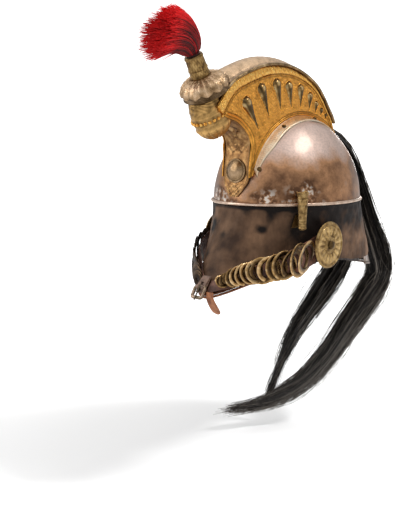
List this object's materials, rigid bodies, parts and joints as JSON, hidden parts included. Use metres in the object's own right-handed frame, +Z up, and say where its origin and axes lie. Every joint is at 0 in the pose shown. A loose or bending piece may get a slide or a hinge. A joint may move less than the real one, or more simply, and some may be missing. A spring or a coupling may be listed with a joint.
{
  "type": "cuirassier helmet",
  "caption": "Steel helmet with visor, neck guard, brass crest, red tuft, hinged black horsehair mane, plume holder and ringed chin strap with a buckle.",
  "frame": {"origin": "middle of the head opening in the plane of the skull's rim", "axes": "+Z up through the crown, -Y towards the visor, +X towards the wearer's left"},
  "size_m": [0.2197, 0.4698, 0.5541],
  "materials": {
    "skull_steel": "aged polish with a brown patina",
    "rim_steel": "pale worn polish",
    "visor_steel": "aged polish",
    "guard_steel": "bright polish",
    "hide": "worn hide with bare and dark patches",
    "gilt": "orange gilt, polished on the high points",
    "pale_brass": "silvery worn gilt",
    "dull_brass": "dull brown patina",
    "old_brass": "old brass with dark hollows",
    "iron": "plain",
    "tuft_hair": "dyed red hair",
    "mane_hair": "black horsehair",
    "stem_wood": "turned",
    "strap_leather": "dark worn leather",
    "tan_leather": "tan leather",
    "lining_leather": "soft lining leather",
    "buckle_brass": "worn, with a little verdigris"
  },
  "bodies": {
    "helmet": {"skull": "skull_steel", "rim_roll": "rim_steel", "skull_band": "visor_steel", "hide_cover": "hide", "visor": "visor_steel", "visor_edge": "tan_leather", "neck_guard": "guard_steel", "neck_guard_edge": "old_brass", "crest_left_plate": "gilt", "crest_right_plate": "gilt", "crest_left_border": "gilt", "crest_right_border": "gilt", "crest_top": "pale_brass", "crest_left_roll": "pale_brass", "crest_right_roll": "pale_brass", "crest_left_flange": "pale_brass", "crest_right_flange": "pale_brass", "crest_front_plate": "dull_brass", "front_boss": "dull_brass", "crest_screws": "old_brass", "crest_nuts": "iron", "console_cap": "pale_brass", "console_bulb": "dull_brass", "tuft_tube": "old_brass", "plume_holder": "old_brass", "plume_bracket": "old_brass", "left_rosette": "old_brass", "right_rosette": "old_brass", "left_post": "old_brass", "right_post": "old_brass", "post_nuts": "iron", "mane_pin": "iron", "sweatband": "lining_leather", "liner_tongues": "lining_leather"},
    "chin_strap": {"left_pivot_plate": "old_brass", "right_pivot_plate": "old_brass", "left_strap": "strap_leather", "right_strap": "strap_leather", "left_rings": "old_brass", "right_rings": "old_brass", "strap_loop": "strap_leather", "billet": "tan_leather"},
    "buckle_frame": {"buckle_frame": "buckle_brass"},
    "buckle_prong": {"buckle_prong": "buckle_brass"},
    "mane": {"mane_ferrule": "old_brass", "mane_outer_lock": "mane_hair", "mane_inner_lock": "mane_hair"},
    "tuft": {"tuft_stem": "stem_wood", "tuft_bristles": "tuft_hair"}
  },
  "joints": [
    {"name": "strap_lift", "type": "hinge", "parent": "helmet", "child": "chin_strap", "pos_m": [0, -0.033, -0.0485], "axis": [-1, 0, 0], "range_deg": [0, 18]},
    {"name": "buckle_swing", "type": "hinge", "parent": "chin_strap", "child": "buckle_frame", "pos_m": [-0.004, -0.16612, -0.0954], "axis": [-1, 0, 0], "range_deg": [0, 30]},
    {"name": "prong_swing", "type": "hinge", "parent": "buckle_frame", "child": "buckle_prong", "pos_m": [-0.004, -0.16612, -0.0954], "axis": [-1, 0, 0], "range_deg": [0, 40]},
    {"name": "mane_lift", "type": "hinge", "parent": "helmet", "child": "mane", "pos_m": [0, 0.06453, 0.09755], "axis": [1, 0, 0], "range_deg": [0, 25]},
    {"name": "tuft_pull", "type": "slide", "parent": "helmet", "child": "tuft", "axis": [0, -0.4848, 0.8746], "range_m": [0, 0.03]}
  ]
}
